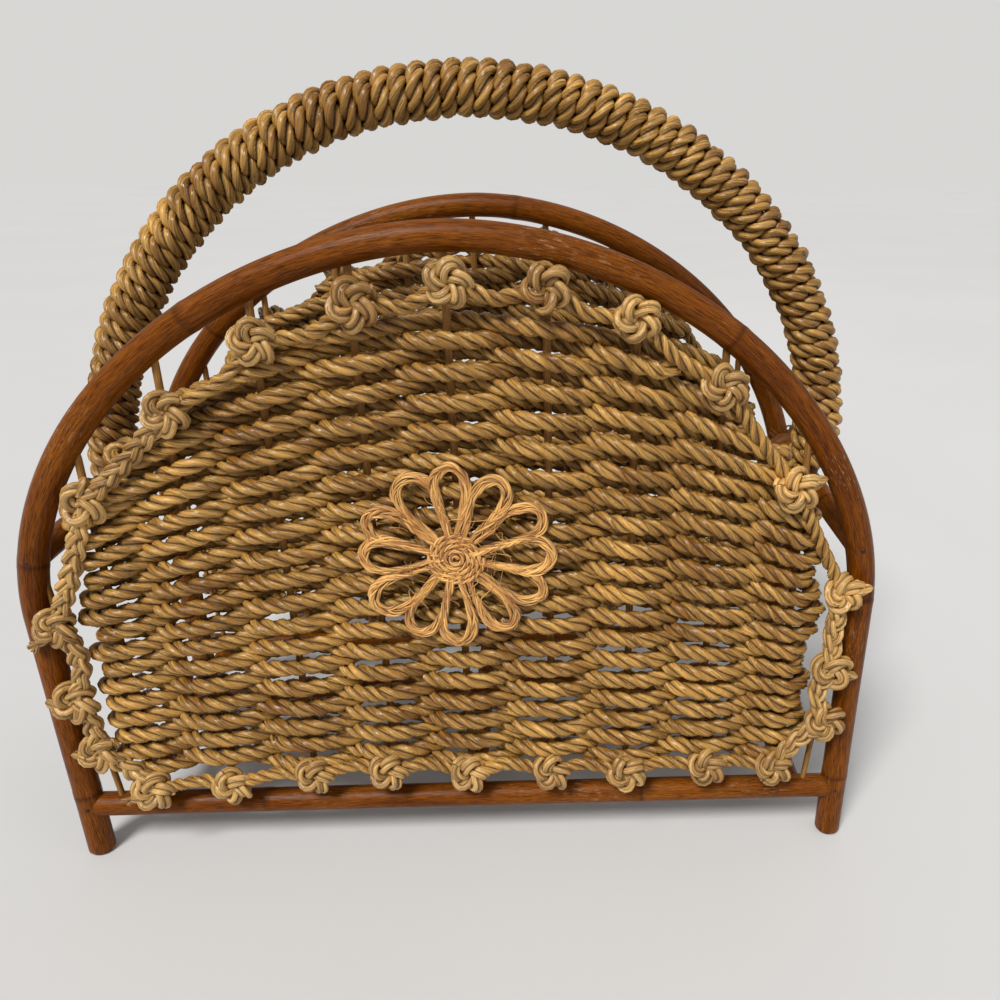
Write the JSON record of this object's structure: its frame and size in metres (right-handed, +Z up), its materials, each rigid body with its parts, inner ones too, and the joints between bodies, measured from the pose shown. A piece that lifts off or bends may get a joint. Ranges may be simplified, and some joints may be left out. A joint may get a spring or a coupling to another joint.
{
  "type": "magazine basket",
  "caption": "Magazine basket: two arched rattan panels woven with seagrass rope, an open rail floor, a raffia flower, and a rope-wound hoop handle between the panels.",
  "frame": {"origin": "Centre of the basket on the floor: midway between the two panels and between the hoops' legs, at the level of the feet.", "axes": "+X along the panels, to the right as seen from the panel with the flower; +Y from that panel to the other; +Z up."},
  "size_m": [0.4207, 0.1922, 0.4001],
  "materials": {
    "rattan": "varnished",
    "seagrass": "natural",
    "raffia": "natural",
    "cane": "varnished"
  },
  "bodies": {
    "root": {"front_hoop": "rattan", "front_bottom_rail": "rattan", "front_stake_1": "rattan", "front_stake_2": "rattan", "front_stake_3": "rattan", "front_stake_4": "rattan", "front_stake_5": "rattan", "front_stake_6": "rattan", "front_stake_7": "rattan", "front_stake_8": "rattan", "front_stake_9": "rattan", "front_stake_10": "rattan", "front_stake_11": "rattan", "rear_hoop": "rattan", "rear_bottom_rail": "rattan", "rear_stake_1": "rattan", "rear_stake_2": "rattan", "rear_stake_3": "rattan", "rear_stake_4": "rattan", "rear_stake_5": "rattan", "rear_stake_6": "rattan", "rear_stake_7": "rattan", "rear_stake_8": "rattan", "rear_stake_9": "rattan", "rear_stake_10": "rattan", "rear_stake_11": "rattan", "left_floor_bar": "rattan", "centre_floor_bar": "rattan", "right_floor_bar": "rattan", "middle_floor_rail": "rattan", "left_side_bar": "rattan", "right_side_bar": "rattan", "handle_core": "rattan", "front_weave_rope": "seagrass", "front_knotted_border": "seagrass", "rear_weave_rope": "seagrass", "rear_knotted_border": "seagrass", "handle_wrap": "seagrass", "raffia_petals": "raffia", "raffia_centre": "raffia", "left_cane_binding": "cane", "right_cane_binding": "cane"}
  },
  "joints": []
}
